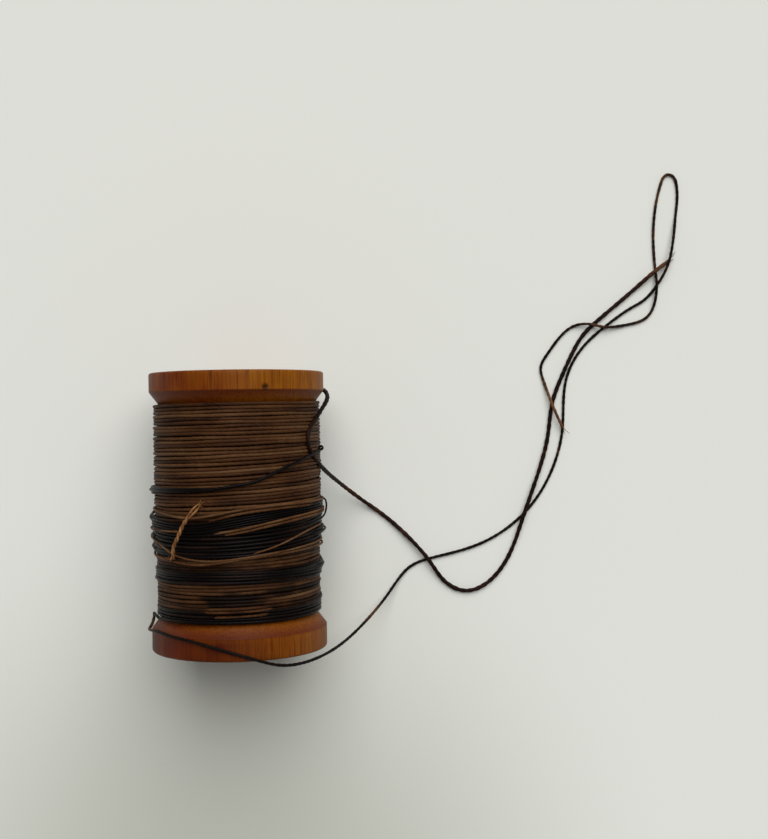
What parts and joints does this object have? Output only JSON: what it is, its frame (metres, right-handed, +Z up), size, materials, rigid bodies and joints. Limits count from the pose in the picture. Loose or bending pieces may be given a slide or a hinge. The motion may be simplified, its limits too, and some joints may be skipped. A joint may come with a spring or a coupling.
{
  "type": "wound thread spool",
  "caption": "Turned wooden spool lying on its side, wound with waxed thread, with two free thread tails and a through bore.",
  "frame": {"origin": "on the plane the spool rests on, under the middle of the spool", "axes": "+Y along the spool's bore towards the upper head, +Z up, +X towards the free tails"},
  "size_m": [0.1032, 0.0912, 0.033],
  "materials": {
    "wood": "old varnished birch, worn at the edges",
    "brown_thread": "waxed linen thread",
    "dark_thread": "waxed linen thread, dark",
    "tan_thread": "unwaxed two-ply thread"
  },
  "bodies": {
    "root": {"spool_body": "wood", "thread_core": "brown_thread", "main_winding": "brown_thread", "dark_wraps": "dark_thread", "cross_strand": "dark_thread", "upper_tail": "brown_thread", "lower_tail": "dark_thread", "tan_end": "tan_thread"}
  },
  "joints": []
}
